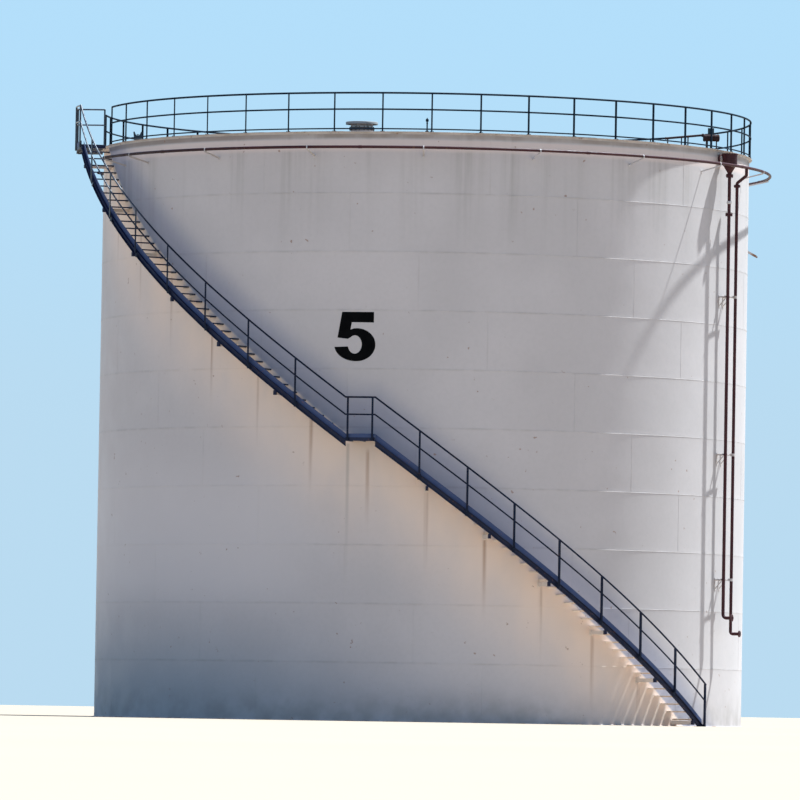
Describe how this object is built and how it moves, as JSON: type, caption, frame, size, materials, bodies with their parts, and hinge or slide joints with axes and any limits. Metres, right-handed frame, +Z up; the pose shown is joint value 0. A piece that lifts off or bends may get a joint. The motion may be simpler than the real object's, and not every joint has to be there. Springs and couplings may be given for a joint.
{
  "type": "vertical storage tank",
  "caption": "Upright cylindrical steel storage tank with a low cone roof, roof railing, spiral stair with a landing, cooling ring pipe and foam chamber.",
  "frame": {"origin": "on the tank's axis, at the underside of the bottom plate, on the ground", "axes": "+Z up along the tank's axis; the stair climbs from the front right to the left, seen along +Y"},
  "size_m": [18.5647, 18.567, 16.227],
  "materials": {
    "shell_paint": "weathered off-white paint",
    "stair_paint": "dark blue gloss paint",
    "rail_paint": "blue-black gloss paint",
    "pipe_paint": "dark red paint",
    "vent_paint": "off-white paint",
    "fitting_grey": "grey paint"
  },
  "bodies": {
    "root": {"bottom_plate": "shell_paint", "shell_course_01": "shell_paint", "shell_course_02": "shell_paint", "shell_course_03": "shell_paint", "shell_course_04": "shell_paint", "shell_course_05": "shell_paint", "shell_course_06": "shell_paint", "shell_course_07": "shell_paint", "shell_course_08": "shell_paint", "shell_course_09": "shell_paint", "shell_course_10": "shell_paint", "curb_angle": "shell_paint", "roof_plates": "shell_paint", "roof_vent_neck": "vent_paint", "roof_vent_cap": "vent_paint", "roof_gauge_hatch": "rail_paint", "roof_gauge_post": "rail_paint", "roof_instrument_box": "fitting_grey", "roof_instrument_pipe": "fitting_grey", "roof_railing_1": "rail_paint", "roof_railing_2": "rail_paint", "roof_railing_3": "rail_paint", "roof_railing_4": "rail_paint", "roof_railing_5": "rail_paint", "roof_railing_6": "rail_paint", "lower_flight": "stair_paint", "upper_flight": "stair_paint", "stair_landing": "stair_paint", "top_platform": "stair_paint", "lower_handrail": "rail_paint", "landing_railing": "rail_paint", "upper_handrail": "rail_paint", "top_platform_railing": "rail_paint", "cooling_ring_pipe": "pipe_paint", "foam_riser": "pipe_paint", "cooling_riser": "pipe_paint", "foam_chamber": "pipe_paint", "riser_bracket_1": "pipe_paint", "riser_bracket_2": "pipe_paint", "riser_bracket_3": "pipe_paint", "spare_pipe_arm": "shell_paint", "shell_manhole": "shell_paint", "outlet_nozzle": "shell_paint"}
  },
  "joints": []
}
